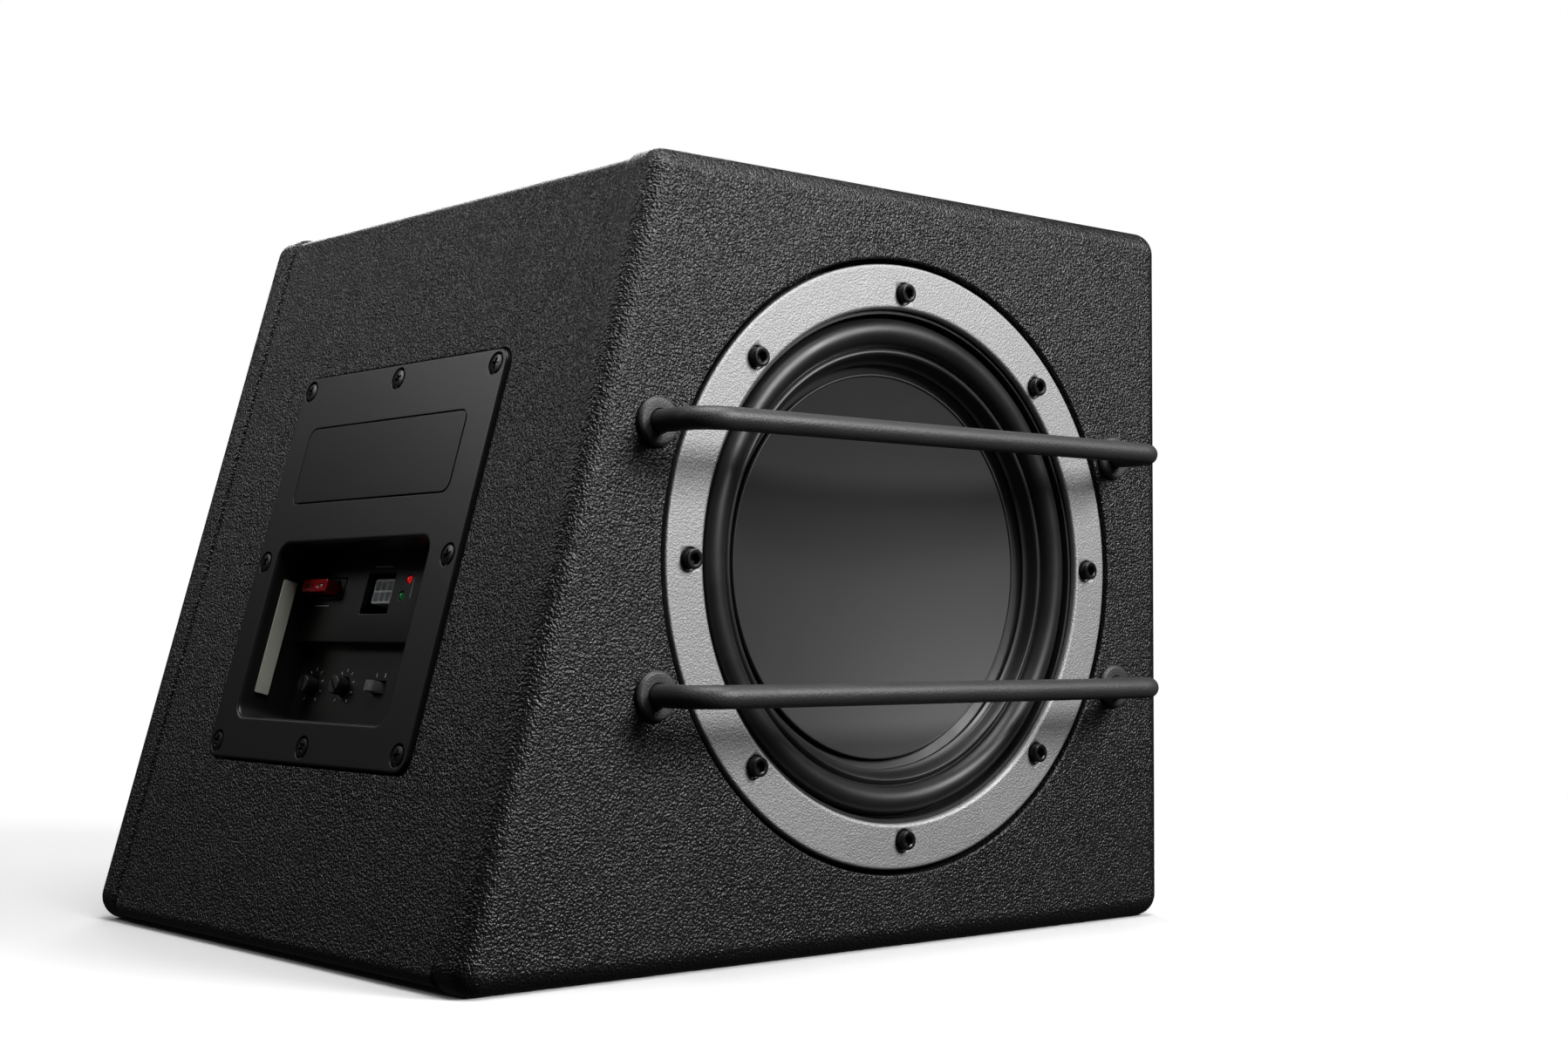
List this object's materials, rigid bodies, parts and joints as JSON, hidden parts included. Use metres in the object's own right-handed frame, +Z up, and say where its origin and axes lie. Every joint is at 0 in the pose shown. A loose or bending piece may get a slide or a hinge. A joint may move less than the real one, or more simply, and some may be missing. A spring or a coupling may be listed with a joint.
{
  "type": "powered car subwoofer",
  "caption": "Black-coated wedge cabinet with a slanted amplifier side and a front bass driver behind two guard bars.",
  "frame": {"origin": "on the ground, below the middle of the whole object's box", "axes": "+Z up; -Y the way the driver faces, the guard bars foremost; -X the side with the amplifier, whose wall leans inwards towards the top"},
  "size_m": [0.3376, 0.296, 0.2803],
  "materials": {
    "cabinet_coating": "black pebbled protective coating over board, semi-matt",
    "satin_silver": "fine sand-textured satin silver",
    "black_screw": "black oxide on steel",
    "powder_black": "matt black powder coat on steel",
    "surround_rubber": "smooth matt black rubber",
    "gasket_foam": "closed-cell foam",
    "cone_grey": "smooth dark grey, slightly satin",
    "basket_black": "black enamel on pressed steel",
    "spider_cloth": "resin-stiffened cloth",
    "former_board": "glass-fibre former",
    "copper_wire": "enamelled copper wire",
    "plated_steel": "zinc plated",
    "ferrite": "bare ferrite",
    "terminal_board": "fibre board",
    "moulded_black": "fine-textured black moulding, glossy in the recess",
    "badge_black": "satin black inlay, blank",
    "label_paper": "pale blank label",
    "fuse_red": "clear red plastic",
    "tinned_metal": "tinned metal",
    "header_white": "natural nylon",
    "lamp_red": "tinted clear lens, lit",
    "lamp_green": "tinted clear lens, lit",
    "knob_black": "black plastic shaft",
    "pot_blue": "moulded control body",
    "lever_grey": "light grey plastic",
    "circuit_green": "solder-resist green board",
    "sink_aluminium": "extruded aluminium"
  },
  "bodies": {
    "cabinet": {"front_baffle": "cabinet_coating", "rear_panel": "cabinet_coating", "bottom_panel": "cabinet_coating", "plain_side_panel": "cabinet_coating", "top_panel": "cabinet_coating", "amp_side_panel": "cabinet_coating", "trim_ring": "satin_silver", "ring_screw_1": "black_screw", "ring_screw_2": "black_screw", "ring_screw_3": "black_screw", "ring_screw_4": "black_screw", "ring_screw_5": "black_screw", "ring_screw_6": "black_screw", "ring_screw_7": "black_screw", "ring_screw_8": "black_screw", "driver_gasket": "gasket_foam", "basket": "basket_black", "surround": "surround_rubber", "spider": "spider_cloth", "terminal_strip": "terminal_board", "top_plate": "plated_steel", "magnet": "ferrite", "pole_yoke": "plated_steel", "upper_guard_bar": "powder_black", "lower_guard_bar": "powder_black", "bar_flange_1": "powder_black", "bar_flange_2": "powder_black", "bar_flange_3": "powder_black", "bar_flange_4": "powder_black", "amp_plate": "moulded_black", "amp_gasket": "gasket_foam", "badge": "badge_black", "rating_label": "label_paper", "fuse_holder": "moulded_black", "power_header": "header_white", "protect_lamp": "lamp_red", "power_lamp": "lamp_green", "gain_pot": "pot_blue", "bass_pot": "pot_blue", "phase_switch": "plated_steel", "floor_screw": "black_screw", "amp_board": "circuit_green", "heat_sink": "sink_aluminium", "amp_screw_1": "black_screw", "amp_screw_2": "black_screw", "amp_screw_3": "black_screw", "amp_screw_4": "black_screw", "amp_screw_5": "black_screw", "amp_screw_6": "black_screw", "amp_screw_7": "black_screw", "amp_screw_8": "black_screw"},
    "cone_assembly": {"cone": "cone_grey", "dust_cap": "cone_grey", "voice_coil_former": "former_board", "voice_coil_winding": "copper_wire"},
    "gain_shaft": {"gain_knob": "knob_black"},
    "bass_shaft": {"bass_knob": "knob_black"},
    "phase_lever": {"phase_slider": "lever_grey"},
    "fuse": {"fuse_body": "fuse_red", "fuse_blades": "tinned_metal"}
  },
  "joints": [
    {"name": "cone_travel", "type": "slide", "parent": "cabinet", "child": "cone_assembly", "axis": [0, -1, 0], "range_m": [-0.007, 0.007], "stiffness_N_per_m": 2500, "deforming": ["surround", "spider"]},
    {"name": "gain_turn", "type": "hinge", "parent": "cabinet", "child": "gain_shaft", "pos_m": [-0.12334, 0.0571, 0.09364], "axis": [-0.9629, 0, 0.2697], "range_deg": [-140, 140]},
    {"name": "bass_turn", "type": "hinge", "parent": "cabinet", "child": "bass_shaft", "pos_m": [-0.12334, 0.0339, 0.09364], "axis": [-0.9629, 0, 0.2697], "range_deg": [-185, 95]},
    {"name": "phase_slide", "type": "slide", "parent": "cabinet", "child": "phase_lever", "axis": [0, -1, 0], "range_m": [0, 0.0032]},
    {"name": "fuse_pull", "type": "slide", "parent": "cabinet", "child": "fuse", "axis": [-0.9629, 0, 0.2697], "range_m": [0, 0.014]}
  ]
}
